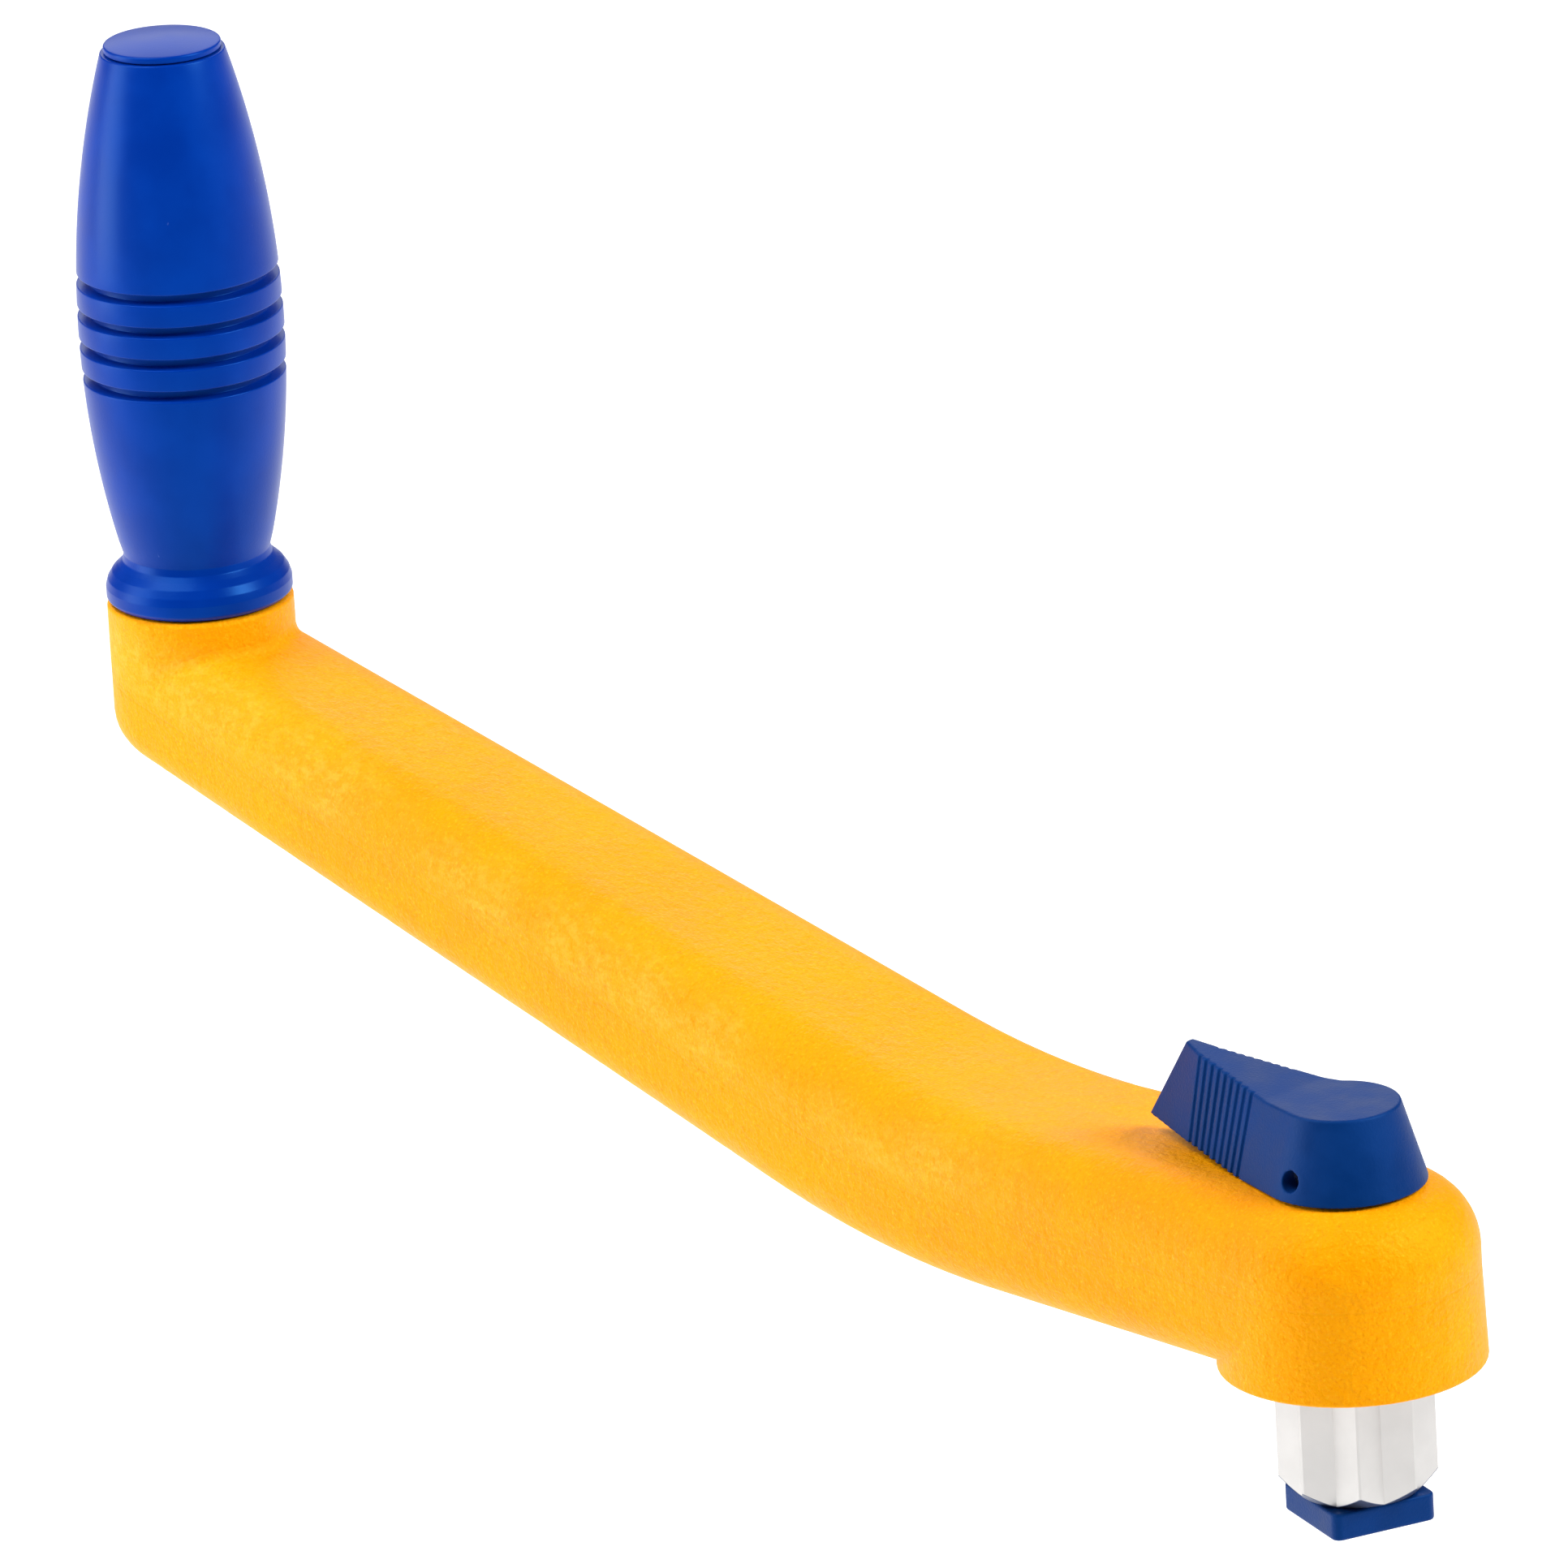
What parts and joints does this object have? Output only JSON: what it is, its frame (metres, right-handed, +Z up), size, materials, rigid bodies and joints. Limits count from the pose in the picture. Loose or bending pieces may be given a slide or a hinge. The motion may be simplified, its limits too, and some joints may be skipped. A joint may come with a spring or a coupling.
{
  "type": "winch handle",
  "caption": "Lock-in winch handle: sloping hollow arm, barrel grip free on its spindle, eight-point drive star, and a spring-return lever that turns a square lock plate below it",
  "frame": {"origin": "where the drive axis meets the seat face: the underside of the arm's head, which rests on the winch", "axes": "+Z up along the drive axis, out of the winch; the arm runs to -X and carries the grip on an axis parallel to Z at x = -250 mm; +Y follows the right-hand rule"},
  "size_m": [0.2871, 0.0414, 0.1913],
  "materials": {
    "arm_shell": "matte glass-filled nylon with a fine moulded grain",
    "foam": "closed-cell foam, dull",
    "star_metal": "fine bead-blasted light alloy",
    "bearing_plastic": "machined acetal",
    "seal_rubber": "moulded nitrile rubber",
    "steel": "drawn and turned stainless steel",
    "lock_plastic": "matte moulded nylon with a fine grain",
    "grip_plastic": "smooth moulded plastic with a soft sheen"
  },
  "bodies": {
    "arm": {"upper_shell": "arm_shell", "lower_shell": "arm_shell", "foam_core": "foam", "drive_star": "star_metal", "lower_shaft_bush": "bearing_plastic", "upper_shaft_bush": "bearing_plastic", "shaft_o_ring": "seal_rubber", "lever_washer": "bearing_plastic", "return_spring": "steel", "grip_spindle": "steel", "grip_thrust_washer": "bearing_plastic", "grip_retaining_washer": "steel", "grip_lock_nut": "steel"},
    "lock": {"lock_lever": "lock_plastic", "lever_pin": "steel", "lock_shaft": "steel", "drive_pin": "steel", "lock_plate": "lock_plastic", "lock_plate_screw": "steel"},
    "grip": {"grip_sleeve": "grip_plastic", "lower_grip_bush": "bearing_plastic", "upper_grip_bush": "bearing_plastic", "grip_end_cap": "grip_plastic"}
  },
  "joints": [
    {"name": "lock_turn", "type": "hinge", "parent": "arm", "child": "lock", "pos_m": [0, 0, 0.0291], "axis": [0, 0, 1], "range_deg": [0, 19], "stiffness_Nm_per_rad": 0.15, "springref_deg": -28.65, "deforming": ["return_spring"]},
    {"name": "grip_spin", "type": "hinge", "parent": "arm", "child": "grip", "pos_m": [-0.25, 0, 0.0729], "axis": [0, 0, 1], "continuous": true}
  ]
}
